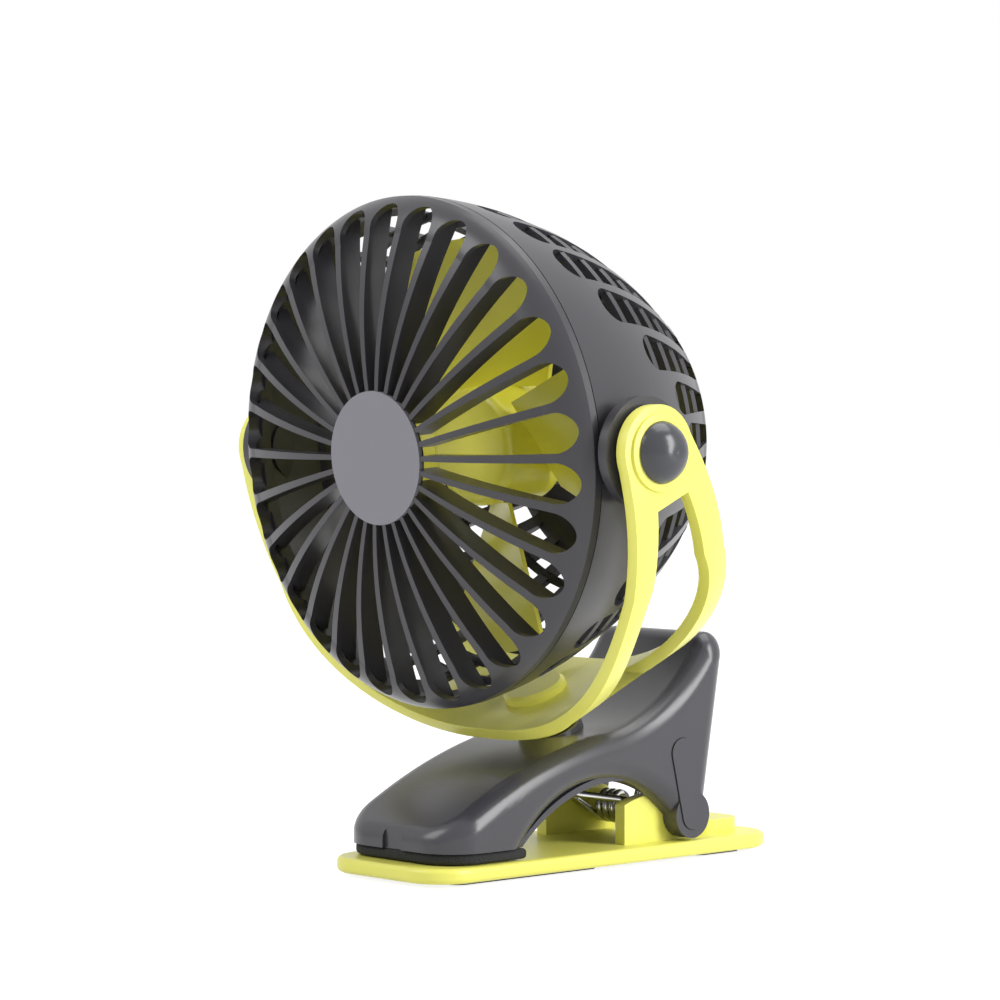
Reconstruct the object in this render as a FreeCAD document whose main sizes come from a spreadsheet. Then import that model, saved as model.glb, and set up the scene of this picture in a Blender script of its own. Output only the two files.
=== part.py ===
"""Portable clamp fan: a tilting, swivelling fan head on a spring clamp.

Millimetres. +Z is up and -Y is the way the fan and the clamp's nose face. The origin
lies on the surface that the rubber feet stand on, under the middle of the clamp.
"""
import FreeCAD, Part
import math
import os
import Sketcher

Vector = FreeCAD.Vector
Rotation = FreeCAD.Rotation
Placement = FreeCAD.Placement

# Every driving size, in millimetres, degrees or counts.
SIZES = {
    # base plate and its feet
    "plate_front": 66.0, "plate_rear": 76.0, "plate_half_width": 26.0, "plate_thickness": 4.6,
    "plate_corner": 13.0, "plate_edge": 1.6, "foot_height": 1.0, "foot_recess": 1.0,
    "foot_inset": 5.0, "front_foot_start": -54.0, "front_foot_end": 3.0,
    "rear_foot_start": 44.0, "rear_foot_end": 64.0, "foot_corner": 4.0,
    "lever_length": 20.0, "lever_height": 4.2, "lever_half_width": 17.0, "lever_inset": 7.0,
    # clamp pivot
    "pin_y": 38.0, "pin_z": 13.4, "pin_radius": 1.75, "running_fit": 0.06,
    "ear_inner": 15.0, "ear_thickness": 4.0, "ear_front": 15.0, "ear_top": 16.5,
    "ear_boss": 6.2, "motion_gap": 0.35, "spring_wire_radius": 1.1, "spring_coil_radius": 4.2,
    "spring_turns": 3.3, "spring_coil_gap": 0.6, "spring_bar_y": 22.5, "spring_bar_z": 18.0,
    "spring_bend": 3.0, "spring_tail": 10.0,
    # clamp jaw
    "jaw_half_width": 25.0, "jaw_wall": 2.3, "leg_radius": 7.1, "arch_y": 6.0, "arch_top": 25.5,
    "arch_front": 30.0, "arch_bulge_y": 3.0, "arch_bulge_share": 0.66, "nose_front": 60.5, "nose_corner": 13.0,
    "crown_front_z": 14.5, "crown_seat_y": 6.0, "crown_seat_z": 40.2, "tail_start_y": 44.3,
    "tail_start_z": 65.5, "tail_y": 53.5, "tail_z": 62.0, "jaw_edge_round": 6.0,
    "jaw_shoulder": 5.2, "heel_wall": 0.6, "roof_front_z": 21.9, "roof_tail_drop": 6.0,
    "pad_thickness": 3.2, "pad_inset": 0.8, "cover_thickness": 2.0, "cover_fit": 0.2,
    "notch_radius": 4.0, "notch_depth": 1.1, "notch_height": 3.6,
    "side_cover_rise": 19.0, "side_cover_shift": 4.6, "side_cover_radius": 4.6,
    "side_cover_depth": 1.0, "side_cover_proud": 0.4, "side_cover_fit": 0.15,
    # electrics in the jaw
    "cell_length": 40.0, "cell_width": 34.0, "cell_thickness": 5.0, "cell_y": -21.5,
    "cell_z": 23.7, "cell_slope": 17.5,
    "board_height": 20.0, "board_thickness": 1.6, "board_z": 41.0, "board_setback": 4.6,
    "switch_depth": 4.2, "switch_width": 6.0, "flange_thickness": 0.9, "flange_reach": 1.4,
    "button_radius": 4.5, "button_travel": 0.8, "button_rise": 4.5,
    "button_proud": 1.4, "socket_width": 7.8, "socket_height": 3.0, "socket_length": 5.2,
    "socket_wall": 0.4, "socket_drop": 5.0, "lens_radius": 1.3, "lens_offset": 10.0,
    # swivel and yoke
    "pivot_y": -36.0, "pivot_z": 124.0, "swivel_lean": 24.0, "floor_drop": 83.5,
    "yoke_thickness": 3.6, "arm_inner": 80.5, "yoke_corner": 76.0, "eye_radius": 13.2,
    "eye_ring_radius": 10.8, "eye_ring_height": 0.9, "leg_knee": 37.0, "leg_knee_spread": 19.5,
    "leg_belly": 62.0, "leg_belly_spread": 24.5, "rail_spread": 20.0, "leg_width": 8.4,
    "window_top": 15.0, "window_half_top": 6.5, "window_floor": 77.0,
    "boss_radius": 9.0, "boss_height": 7.5, "swivel_disc_radius": 9.5, "swivel_disc_height": 1.4,
    "swivel_pin_radius": 3.0, "swivel_head_radius": 5.0, "swivel_head_height": 1.2,
    "pedestal_radius": 10.5, "pedestal_depth": 5.0,
    # fan head
    "head_tilt": 4.3, "seam_offset": 12.5, "seam_gap": 0.3, "shell_wall": 2.0,
    "seam_radius": 74.2, "rear_mid_radius": 63.0, "rear_mid_depth": 28.0,
    "rear_end_radius": 46.0, "rear_end_depth": 57.0, "head_depth": 65.0, "cap_radius": 36.0,
    "grille_disc_radius": 19.3, "grille_front": 30.6, "grille_mid_radius": 45.0,
    "grille_mid_front": 28.2, "shoulder_radius": 64.0, "shoulder_front": 23.2,
    "shoulder_mid_radius": 71.8, "shoulder_mid_front": 19.0, "shoulder_side_front": 15.2,
    "rib_count": 30.0, "rib_root_width": 1.5, "rib_tip_width": 2.6, "rib_web": 1.3,
    "rib_depth": 8.0, "slot_tip": 72.2, "slot_floor": 14.2,
    "disc_plate": 1.2, "disc_seat": 1.0, "disc_overhang": 0.6, "spigot_depth": 1.8,
    "spigot_ease": 0.3, "window_count": 30.0, "window_front": -4.5, "window_sweep": 42.0,
    "window_rib": 3.0, "window_tail": 38.0, "window_overrun": 4.0, "hoop_start": 6.0,
    "hoop_step": 9.0, "hoop_count": 6.0, "hoop_width": 1.6, "hoop_height": 2.4, "hoop_sink": 0.4,
    "pivot_boss_radius": 15.6, "pivot_stem_radius": 10.6, "pivot_boss_reach": 79.0,
    "pivot_flange": 3.2, "pivot_stem_depth": 8.4, "knob_seat_depth": 4.0,
    # pivots of the head
    "knob_radius": 8.7, "knob_height": 5.6, "knob_gap": 0.3, "pivot_pin_radius": 4.0,
    "washer_radius": 9.4, "washer_thickness": 0.8, "washer_gap": 0.5,
    # motor and impeller
    "motor_radius": 14.0, "motor_front": 35.0, "motor_cup_wall": 1.6, "motor_cup_depth": 12.0,
    "end_cap_thickness": 2.0, "bush_radius": 4.0, "bush_length": 3.0, "shaft_radius": 1.5,
    "hub_radius": 17.5, "hub_front": 6.0, "hub_back": 28.0, "hub_wall": 1.8,
    "hub_boss_radius": 4.5, "blade_count": 4.0, "blade_tip": 61.0,
    "blade_thickness": 1.5, "root_half_chord": 13.0, "root_half_depth": 9.0,
    "tip_half_chord": 30.0, "tip_half_depth": 8.0, "blade_mid_depth": 12.0,
}

AXES = {"X": Vector(1, 0, 0), "Y": Vector(0, 1, 0), "Z": Vector(0, 0, 1)}

doc = FreeCAD.newDocument("ClampFan")
pieces = []


class Size:
    """A length, angle or count together with the sheet formula that gives it."""

    def __init__(self, value, formula):
        self.value = float(value)
        self.formula = formula

    def __add__(self, other):
        other = size(other)
        return Size(self.value + other.value, f"({self.formula} + {other.formula})")

    def __sub__(self, other):
        other = size(other)
        return Size(self.value - other.value, f"({self.formula} - {other.formula})")

    def __mul__(self, other):
        other = size(other)
        return Size(self.value * other.value, f"({self.formula} * {other.formula})")

    def __truediv__(self, other):
        other = size(other)
        return Size(self.value / other.value, f"({self.formula} / {other.formula})")

    def __rtruediv__(self, other):
        return size(other) / self

    def __radd__(self, other):
        return size(other) + self

    def __rsub__(self, other):
        return size(other) - self

    def __rmul__(self, other):
        return size(other) * self

    def __neg__(self):
        return Size(-self.value, f"(0 - {self.formula})")


def size(value):
    """A Size as it is, or a plain number as a Size."""
    return value if isinstance(value, Size) else Size(value, f"({value})")


def cosine(angle):
    angle = size(angle)
    return Size(math.cos(math.radians(angle.value)), f"cos({angle.formula})")


def sine(angle):
    angle = size(angle)
    return Size(math.sin(math.radians(angle.value)), f"sin({angle.formula})")


def tangent(angle):
    return sine(angle) / cosine(angle)


def arc_tangent(rise, run):
    """The angle in degrees whose tangent is rise over run."""
    ratio = size(rise) / size(run)
    return Size(math.degrees(math.atan(ratio.value)), f"(atan({ratio.formula}) / 1 deg)")


class Sheet:
    """The document's spreadsheet, with each driving size as an attribute."""

    def __init__(self, document, values):
        self.cells = document.addObject("Spreadsheet::Sheet", "Sizes")
        for row, (name, value) in enumerate(values.items(), 1):
            self.cells.set(f"A{row}", name)
            self.cells.set(f"B{row}", str(value))
            self.cells.setAlias(f"B{row}", name)
            setattr(self, name, Size(value, f"Sizes.{name}"))
        document.recompute()


D = Sheet(doc, SIZES)


def bind(item, name, value):
    """Give a property its value and the formula that keeps it."""
    value = size(value)
    setattr(item, name, value.value)
    item.setExpression(name, value.formula)


def place(item, y=0.0, z=0.0, lean=0.0, x=0.0):
    """Put a piece at a point of the fan, turned by lean degrees about the X axis."""
    x, y, z, lean = size(x), size(y), size(z), size(lean)
    item.Placement = Placement(Vector(x.value, y.value, z.value), Rotation(AXES["X"], lean.value))
    item.setExpression("Placement.Base.x", x.formula)
    item.setExpression("Placement.Base.y", y.formula)
    item.setExpression("Placement.Base.z", z.formula)
    if lean.value:
        item.setExpression("Placement.Rotation.Angle", lean.formula)


def in_head(item):
    """Head pieces are drawn level, with the tilt axis on X, and then tipped."""
    place(item, D.pivot_y, D.pivot_z, D.head_tilt)


def in_yoke(item):
    """Yoke pieces are drawn with the swivel axis on Z and the tilt axis on X."""
    place(item, D.pivot_y, D.pivot_z, D.swivel_lean)


def in_tail(item):
    """Tail pieces are drawn with the jaw's back face on the XZ plane, facing +Y."""
    place(item, TAIL_FACE_Y, D.board_z, -TAIL_LEAN)


def keep(item, label):
    """Record a finished piece under the name of its file."""
    item.Label = label
    pieces.append(item)
    return item


def new_body(label):
    return keep(doc.addObject("PartDesign::Body", label), label)


def plane_of(body, role):
    return next(o for o in body.Origin.OriginFeatures if o.Role == role)


def hold(sketch, geometry, vertex, x, y):
    """Fix one sketch point at two formulas measured from the sketch's origin."""
    for kind, value, axis in (("DistanceX", size(x), -2), ("DistanceY", size(y), -1)):
        if value.formula == "(0.0)" or value.formula == "(0)":
            sketch.addConstraint(Sketcher.Constraint("PointOnObject", geometry, vertex, axis))
        else:
            made = sketch.addConstraint(
                Sketcher.Constraint(kind, -1, 1, geometry, vertex, value.value))
            sketch.setExpression(f"Constraints[{made}]", value.formula)


def new_sketch(body, plane, name, offset=0.0, turn=None, shift=0.0):
    """An empty sketch on an origin plane, lifted by offset, moved along the sketch's
    own Y by shift and turned about an axis."""
    made = body.newObject("Sketcher::SketchObject", name)
    made.AttachmentSupport = (plane_of(body, plane), [""])
    made.MapMode = "FlatFace"
    axis, angle = turn or ("X", 0.0)
    offset, angle, shift = size(offset), size(angle), size(shift)
    made.AttachmentOffset = Placement(
        Vector(0, shift.value, offset.value), Rotation(AXES[axis], angle.value))
    made.setExpression("AttachmentOffset.Base.y", shift.formula)
    made.setExpression("AttachmentOffset.Base.z", offset.formula)
    if turn:
        made.setExpression("AttachmentOffset.Rotation.Angle", angle.formula)
    return made


def arc_through(first, middle, last):
    """An anticlockwise arc through three points, and whether it starts at the first."""
    circle = Part.Arc(first, middle, last).toShape().Curve
    centre, radius = circle.Center, circle.Radius
    turning = (middle - first).cross(last - middle).z
    start, end = (first, last) if turning > 0 else (last, first)
    begin, finish = (math.atan2(p.y - centre.y, p.x - centre.x) for p in (start, end))
    if finish < begin:
        finish += 2 * math.pi
    whole = Part.Circle(centre, Vector(0, 0, 1), radius)
    return Part.ArcOfCircle(whole, begin, finish), turning > 0


def outline(sketch, corners):
    """A closed outline. A corner (x, y) is reached by a straight line, and a corner
    (x, y, via_x, via_y) by an arc through the via point."""
    points = [Vector(size(c[0]).value, size(c[1]).value, 0) for c in corners]
    ends = []
    for index, corner in enumerate(corners):
        before, here = points[index - 1], points[index]
        if len(corner) == 2:
            edge = sketch.addGeometry(Part.LineSegment(before, here))
            ends.append((edge, 1, 2))
            continue
        middle = Vector(size(corner[2]).value, size(corner[3]).value, 0)
        arc, forward = arc_through(before, middle, here)
        edge = sketch.addGeometry(arc)
        via = sketch.addGeometry(Part.Point(middle), True)
        sketch.addConstraint(Sketcher.Constraint("PointOnObject", via, 1, edge))
        hold(sketch, via, 1, corner[2], corner[3])
        ends.append((edge, 1, 2) if forward else (edge, 2, 1))
    for index, corner in enumerate(corners):
        edge, _, finish = ends[index]
        following, start, _ = ends[(index + 1) % len(corners)]
        sketch.addConstraint(Sketcher.Constraint("Coincident", edge, finish, following, start))
        hold(sketch, edge, finish, corner[0], corner[1])
    return sketch


def circle(sketch, x, y, radius):
    """A full circle held by its centre and radius."""
    x, y, radius = size(x), size(y), size(radius)
    edge = sketch.addGeometry(
        Part.Circle(Vector(x.value, y.value, 0), Vector(0, 0, 1), radius.value))
    hold(sketch, edge, 3, x, y)
    made = sketch.addConstraint(Sketcher.Constraint("Radius", edge, radius.value))
    sketch.setExpression(f"Constraints[{made}]", radius.formula)
    return sketch


def feature(body, kind, name, profile, **settings):
    """Add a PartDesign feature made from one sketch."""
    made = body.newObject(f"PartDesign::{kind}", name)
    made.Profile = profile
    profile.Visibility = False
    for key, value in settings.items():
        if isinstance(value, Size):
            bind(made, key, value)
        else:
            setattr(made, key, value)
    body.Tip = made
    return made


def pad(body, name, profile, length, **settings):
    return feature(body, "Pad", name, profile, Length=size(length), **settings)


def pocket(body, name, profile, length=None, **settings):
    if length is None:
        return feature(body, "Pocket", name, profile, Type="ThroughAll", **settings)
    return feature(body, "Pocket", name, profile, Length=size(length), **settings)


def revolve(body, name, profile, axis="Y_Axis", kind="Revolution"):
    turned = plane_of(body, axis)
    return feature(body, kind, name, profile, ReferenceAxis=(turned, [""]), Angle=360.0)


def repeat(body, name, original, count, angle=360.0, axis="Y_Axis"):
    """Copy a feature round an axis."""
    made = body.newObject("PartDesign::PolarPattern", name)
    made.Originals = [original]
    made.Axis = (plane_of(body, axis), [""])
    bind(made, "Angle", angle)
    made.Occurrences = round(size(count).value)
    made.setExpression("Occurrences", size(count).formula)
    body.Tip = made
    return made


def round_edges(body, name, radius, chosen):
    """Fillet the edges of the body's shape so far that the test picks."""
    doc.recompute()
    base = body.Tip
    names = [f"Edge{i}" for i, edge in enumerate(base.Shape.Edges, 1) if chosen(edge)]
    made = body.newObject("PartDesign::Fillet", name)
    made.Base = (base, names)
    bind(made, "Radius", radius)
    body.Tip = made
    return made


def turned_piece(label, corners, placer, axis="Y_Axis", plane="XY_Plane", turn=None):
    """A body made by one revolved outline, whose axis lies in the sketch plane."""
    body = new_body(label)
    revolve(body, "Turned", outline(new_sketch(body, plane, "Section", turn=turn), corners),
            axis)
    placer(body)
    return body


def rounded_rectangle(left, right, low, high, corner):
    """Corners of a rectangle with quarter-round corners."""
    cut = corner * (1 - math.sqrt(0.5))
    return [
        (left + corner, low, left + cut, low + cut), (right - corner, low),
        (right, low + corner, right - cut, low + cut), (right, high - corner),
        (right - corner, high, right - cut, high - cut), (left + corner, high),
        (left, high - corner, left + cut, high - cut), (left, low + corner),
    ]


# Places worked out from the driving sizes
PLATE_TOP = D.foot_height + D.plate_thickness
JAW_UNDER = PLATE_TOP + D.motion_gap + D.pad_thickness
CHEEK_INNER = D.ear_inner + D.ear_thickness + D.motion_gap
HEEL_Y = D.pin_y + D.leg_radius
TAIL_LEAN = arc_tangent(D.tail_y - HEEL_Y, D.tail_z - D.pin_z)
TAIL_FACE_Y = HEEL_Y + (D.board_z - D.pin_z) * tangent(TAIL_LEAN)
SWIVEL_SEAT = D.floor_drop + D.boss_height + D.motion_gap
GRILLE_BACK = D.seam_offset + D.seam_gap
COVER_BEND_Y = (D.arch_y - D.arch_front) / 2 - D.arch_bulge_y
COVER_BEND_Z = JAW_UNDER + (D.arch_top - JAW_UNDER) * D.arch_bulge_share


def base_plate():
    """Clamp foot: a long round-cornered plate, two pivot ears and a raised finger rest."""
    body = new_body("base_plate")
    top = D.plate_thickness
    plan = rounded_rectangle(-D.plate_half_width, D.plate_half_width, -D.plate_front,
                             D.plate_rear, D.plate_corner)
    pad(body, "Plate", outline(new_sketch(body, "XY_Plane", "Plan"), plan), top)
    round_edges(body, "PlateRounds", D.plate_edge,
                lambda e: abs(e.BoundBox.ZMin - e.BoundBox.ZMax) < 1e-6)
    rest_end = D.plate_rear - D.lever_inset
    rest = rounded_rectangle(-D.lever_half_width, D.lever_half_width,
                             rest_end - D.lever_length, rest_end, D.lever_inset)
    pad(body, "FingerRest", outline(new_sketch(body, "XY_Plane", "Rest", top), rest),
        D.lever_height)
    pin_height = D.pin_z - D.foot_height
    diagonal = D.ear_boss * math.sqrt(0.5)
    ear = [
        (D.ear_front, top - D.plate_edge), (D.ear_front, D.ear_top),
        (D.pin_y, pin_height + D.ear_boss, (D.ear_front + D.pin_y) / 2,
         (D.ear_top + pin_height + D.ear_boss) / 2 + D.plate_edge),
        (D.pin_y + D.ear_boss, pin_height, D.pin_y + diagonal, pin_height + diagonal),
        (D.pin_y + D.ear_boss, top - D.plate_edge),
    ]
    for side, offset in (("Left", -D.ear_inner - D.ear_thickness), ("Right", D.ear_inner)):
        face = new_sketch(body, "YZ_Plane", f"Ear{side}", offset)
        pad(body, f"Ear{side}Pad", outline(face, ear), D.ear_thickness)
    bore = circle(new_sketch(body, "YZ_Plane", "PinHole"), D.pin_y, pin_height, D.pin_radius)
    pocket(body, "PinBore", bore, SideType="Symmetric")
    for name, corners in foot_plans():
        seat = outline(new_sketch(body, "XY_Plane", f"Seat{name}"), corners)
        pocket(body, f"{name}Recess", seat, D.foot_recess, Reversed=True)
    place(body, z=D.foot_height)


def foot_plans():
    """Names and outlines of the two rubber feet, seen from above."""
    side = D.plate_half_width - D.foot_inset
    return (
        ("Front", rounded_rectangle(-side, side, D.front_foot_start, D.front_foot_end,
                                    D.foot_corner)),
        ("Rear", rounded_rectangle(-side, side, D.rear_foot_start, D.rear_foot_end,
                                   D.foot_corner)),
    )


def rubber_feet():
    """Two rubber pads pressed into recesses under the plate."""
    for name, corners in foot_plans():
        body = new_body(f"rubber_foot_{name.lower()}")
        pad(body, "Foot", outline(new_sketch(body, "XY_Plane", "Plan"), corners),
            D.foot_height + D.foot_recess)
        place(body)


def hinge_pin():
    """Steel pin through both cheeks of the jaw and both ears of the plate."""
    body = new_body("hinge_pin")
    half = D.jaw_half_width - D.side_cover_depth - D.motion_gap
    face = circle(new_sketch(body, "YZ_Plane", "Section"), 0, 0, D.pin_radius)
    pad(body, "Pin", face, half * 2, SideType="Symmetric")
    place(body, D.pin_y, D.pin_z)


def arc_via(start, end, way):
    """Middle of an arc that leaves start at an angle and runs forwards to end, and its
    angle there."""
    run, rise = end[0] - start[0], end[1] - start[1]
    chord = arc_tangent(rise, run) + 180
    lift = tangent((way - chord) / 2) / 2
    middle = ((start[0] + end[0]) / 2 - rise * lift, (start[1] + end[1]) / 2 + run * lift)
    return middle, chord * 2 - way


def crown():
    """Top line of the jaw from the nose to the back face, in three arcs that run smoothly
    into each other and into the back face. The angles are found from the back forwards."""
    nose = (-D.nose_front, D.crown_front_z)
    seat = (D.crown_seat_y, D.crown_seat_z)
    tail = (D.tail_start_y, D.tail_start_z)
    back = (D.tail_y, D.tail_z)
    points = [back, tail, seat, nose]
    way = 90.0 - TAIL_LEAN
    corners = []
    for end, start in zip(points, points[1:]):
        middle, way = arc_via(end, start, way)
        corners.insert(0, (*end, *middle))
    return [nose, *corners]


def jaw_side():
    """Side outline of the whole jaw, anticlockwise from the nose's lower front."""
    toe = D.pin_y - D.leg_radius
    return [
        (-D.nose_front, JAW_UNDER), *crown(), (HEEL_Y, D.pin_z),
        (toe, D.pin_z, D.pin_y, D.pin_z - D.leg_radius),
        (-D.arch_front, JAW_UNDER, D.arch_y, D.arch_top),
    ]


def jaw_hollow(drop):
    """Side outline of the space inside the jaw, with its roof a distance below the crown."""
    floor = D.arch_top + D.cover_thickness
    front = -D.nose_front + D.nose_corner
    _, to_seat, to_tail, _ = crown()
    return [
        (front, JAW_UNDER + D.cover_thickness), (front, D.roof_front_z - drop),
        (D.crown_seat_y, D.crown_seat_z - drop, to_seat[2], to_seat[3] - drop),
        (D.tail_start_y, D.tail_start_z - drop * 2, to_tail[2], to_tail[3] - drop),
        (D.tail_y - D.jaw_wall * 2, D.tail_z - D.roof_tail_drop - drop),
        (HEEL_Y - D.heel_wall, floor), (D.arch_y, floor),
        (-D.arch_front, JAW_UNDER + D.cover_thickness, COVER_BEND_Y,
         COVER_BEND_Z + D.cover_thickness),
    ]


def cover_side(ease=0.0):
    """Side outline of the lower cover: nose floor, arch roof and pivot roof."""
    rise = D.cover_thickness
    front = -D.nose_front + D.nose_corner + ease
    back = HEEL_Y - D.heel_wall - ease
    return [
        (front, JAW_UNDER), (front, JAW_UNDER + rise), (-D.arch_front, JAW_UNDER + rise),
        (D.arch_y, D.arch_top + rise, COVER_BEND_Y, COVER_BEND_Z + rise),
        (back, D.arch_top + rise), (back, D.arch_top), (D.arch_y, D.arch_top),
        (-D.arch_front, JAW_UNDER, COVER_BEND_Y, COVER_BEND_Z),
    ]


def side_cover_plan(radius):
    """Obround cover over the pin's end, seen from the side."""
    top_y, top_z = D.pin_y - D.side_cover_shift, D.pin_z + D.side_cover_rise
    lean = arc_tangent(D.side_cover_shift, D.side_cover_rise)
    across, along = radius * cosine(lean), radius * sine(lean)
    return [
        (D.pin_y + across, D.pin_z + along, D.pin_y + along, D.pin_z - across),
        (top_y + across, top_z + along),
        (top_y - across, top_z - along, top_y - along, top_z + across),
        (D.pin_y - across, D.pin_z - along),
    ]


def on_rim(edge):
    """True for the edges round the top of the jaw, from the nose to the foot of its back."""
    box = edge.BoundBox
    middle = edge.valueAt((edge.FirstParameter + edge.LastParameter) / 2)
    on_cheek = box.XLength < 1e-3 and abs(abs(box.XMin) - D.jaw_half_width.value) < 1e-3
    on_nose = box.XLength > 1 and middle.y < -D.nose_front.value + D.nose_corner.value
    on_top = middle.z > D.arch_top.value or middle.y > HEEL_Y.value
    return on_cheek and on_top or on_nose and box.ZMin > D.crown_front_z.value - 1e-3


def jaw_upper_shell():
    """Upper jaw: a shoe-shaped shell, open below, with two cheeks for the pin."""
    body = new_body("jaw_upper_shell")
    width = D.jaw_half_width * 2
    inner = (D.jaw_half_width - D.jaw_wall) * 2
    both = {"SideType": "Symmetric"}
    pad(body, "Block", outline(new_sketch(body, "YZ_Plane", "Side"), jaw_side()), width, **both)
    for sign, side in ((-1, "Left"), (1, "Right")):
        far = D.jaw_half_width * sign
        bite = D.nose_corner * sign
        corner = [
            (far, -D.nose_front + D.nose_corner), (far * 1.1, -D.nose_front + D.nose_corner),
            (far * 1.1, -D.nose_front * 1.1), (far - bite, -D.nose_front * 1.1),
            (far - bite, -D.nose_front),
        ]
        reach = 1 - math.sqrt(0.5)
        corner[0] += (far - bite * reach, -D.nose_front + D.nose_corner * reach)
        trim = outline(new_sketch(body, "XY_Plane", f"Corner{side}"), corner)
        pocket(body, f"NoseCorner{side}", trim, SideType="Symmetric")
    round_edges(body, "RimRounds", D.jaw_edge_round, on_rim)
    low = outline(new_sketch(body, "YZ_Plane", "LowHollow"), jaw_hollow(D.jaw_wall + D.jaw_shoulder))
    pocket(body, "Inside", low, inner, **both)
    high = outline(new_sketch(body, "YZ_Plane", "HighHollow"), jaw_hollow(D.jaw_wall))
    pocket(body, "InsideRoof", high, inner - D.jaw_shoulder * 2, **both)
    opening = outline(new_sketch(body, "YZ_Plane", "Underside"), cover_side())
    pocket(body, "CoverSeat", opening, inner, **both)
    fork = [
        (-D.arch_front, 0), (D.pin_y * 2, 0), (D.pin_y * 2, D.arch_top),
        (D.arch_y, D.arch_top), (-D.arch_front, JAW_UNDER),
    ]
    pocket(body, "PivotGap", outline(new_sketch(body, "YZ_Plane", "Fork"), fork),
           CHEEK_INNER * 2, **both)
    for name, offset, reverse in (("Left", -D.jaw_half_width, True),
                                  ("Right", D.jaw_half_width, False)):
        plan = side_cover_plan(D.side_cover_radius)
        seat = outline(new_sketch(body, "YZ_Plane", f"Obround{name}", offset), plan)
        pocket(body, f"SideSeat{name}", seat, D.side_cover_depth, Reversed=reverse)
    bore = circle(new_sketch(body, "YZ_Plane", "PinHole"), D.pin_y, D.pin_z,
                  D.pin_radius + D.running_fit)
    pocket(body, "PinBore", bore, **both)
    notch = [
        (-D.notch_radius, JAW_UNDER - 1), (D.notch_radius, JAW_UNDER - 1),
        (D.notch_radius, JAW_UNDER + D.notch_height),
        (-D.notch_radius, JAW_UNDER + D.notch_height, 0,
         JAW_UNDER + D.notch_height + D.notch_radius),
    ]
    relief = outline(new_sketch(body, "XZ_Plane", "Notch", D.nose_front), notch)
    pocket(body, "NoseNotch", relief, D.notch_depth * 2, SideType="Symmetric")
    seat_y = D.pivot_y + SWIVEL_SEAT * sine(D.swivel_lean)
    seat_z = D.pivot_z - SWIVEL_SEAT * cosine(D.swivel_lean)
    lean = ("X", D.swivel_lean)
    seat = new_sketch(body, "XY_Plane", "Pedestal", seat_z, lean, seat_y)
    pad(body, "SwivelPedestal", circle(seat, 0, 0, D.pedestal_radius), D.pedestal_depth,
        Reversed=True)
    hole = new_sketch(body, "XY_Plane", "PedestalHole", seat_z, lean, seat_y)
    pocket(body, "PedestalBore", circle(hole, 0, 0, D.swivel_pin_radius + D.running_fit),
           D.pedestal_depth * 2)
    dish = new_sketch(body, "XY_Plane", "BossDish", seat_z, lean, seat_y)
    pocket(body, "BossClearance", circle(dish, 0, 0, D.boss_radius + D.motion_gap * 2),
           D.boss_height, Reversed=True)
    for name, x, z, radius in tail_holes():
        face = new_sketch(body, "XZ_Plane", f"{name}Place", -TAIL_FACE_Y,
                          ("X", -TAIL_LEAN), D.board_z)
        pocket(body, f"{name}Hole", circle(face, x, z, radius), D.board_setback * 2, **both)
    face = new_sketch(body, "XZ_Plane", "SocketPlace", -TAIL_FACE_Y, ("X", -TAIL_LEAN),
                      D.board_z)
    slot = rectangle(D.socket_width / 2 + D.cover_fit, -D.socket_drop,
                     D.socket_height / 2 + D.cover_fit)
    pocket(body, "SocketSlot", outline(face, slot), D.board_setback * 2, **both)
    place(body)


def rectangle(half_width, middle, half_height):
    """Corners of a rectangle centred at x = 0 and y = middle."""
    return [
        (-half_width, middle - half_height), (half_width, middle - half_height),
        (half_width, middle + half_height), (-half_width, middle + half_height),
    ]


def tail_holes():
    """Round holes in the jaw's back face: name, place and radius of each."""
    return (
        ("Button", 0, D.button_rise, D.button_radius + D.motion_gap),
        ("Lens", D.lens_offset, D.button_rise, D.lens_radius),
    )


def tail_electrics():
    """Circuit board behind the back face with its switch, button, socket and light."""
    board_face = D.board_setback + D.switch_depth
    board = new_body("circuit_board")
    plan = outline(new_sketch(board, "XZ_Plane", "Plan", board_face),
                   rectangle(D.cell_width / 2, 0, D.board_height / 2))
    pad(board, "Board", plan, D.board_thickness)
    in_tail(board)

    switch = new_body("tact_switch")
    side = D.switch_width / 2
    plan = outline(new_sketch(switch, "XZ_Plane", "Plan", board_face),
                   rectangle(side, D.button_rise, side))
    pad(switch, "Case", plan, D.switch_depth - D.button_travel - D.flange_thickness,
        Reversed=True)
    in_tail(switch)

    button = new_body("speed_button")
    front = new_sketch(button, "XZ_Plane", "Cap", D.board_setback - D.flange_thickness)
    pad(button, "CapPad", circle(front, 0, D.button_rise, D.button_radius),
        D.board_setback - D.flange_thickness + D.button_proud, Reversed=True)
    back = new_sketch(button, "XZ_Plane", "Flange", D.board_setback - D.flange_thickness)
    pad(button, "FlangePad", circle(back, 0, D.button_rise,
                                    D.button_radius + D.flange_reach), D.flange_thickness)
    in_tail(button)

    socket = new_body("usb_socket")
    plan = outline(new_sketch(socket, "XZ_Plane", "Plan", board_face),
                   rectangle(D.socket_width / 2, -D.socket_drop, D.socket_height / 2))
    pad(socket, "Shell", plan, board_face - D.cover_fit, Reversed=True)
    mouth = outline(new_sketch(socket, "XZ_Plane", "Mouth", D.cover_fit),
                    rectangle(D.socket_width / 2 - D.socket_wall, -D.socket_drop,
                              D.socket_height / 2 - D.socket_wall))
    pocket(socket, "Inside", mouth, D.socket_length, Reversed=True)
    in_tail(socket)

    lens = new_body("indicator_lens")
    plan = circle(new_sketch(lens, "XZ_Plane", "Plan", board_face), D.lens_offset,
                  D.button_rise, D.lens_radius)
    pad(lens, "LightPipe", plan, board_face, Reversed=True)
    in_tail(lens)


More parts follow.
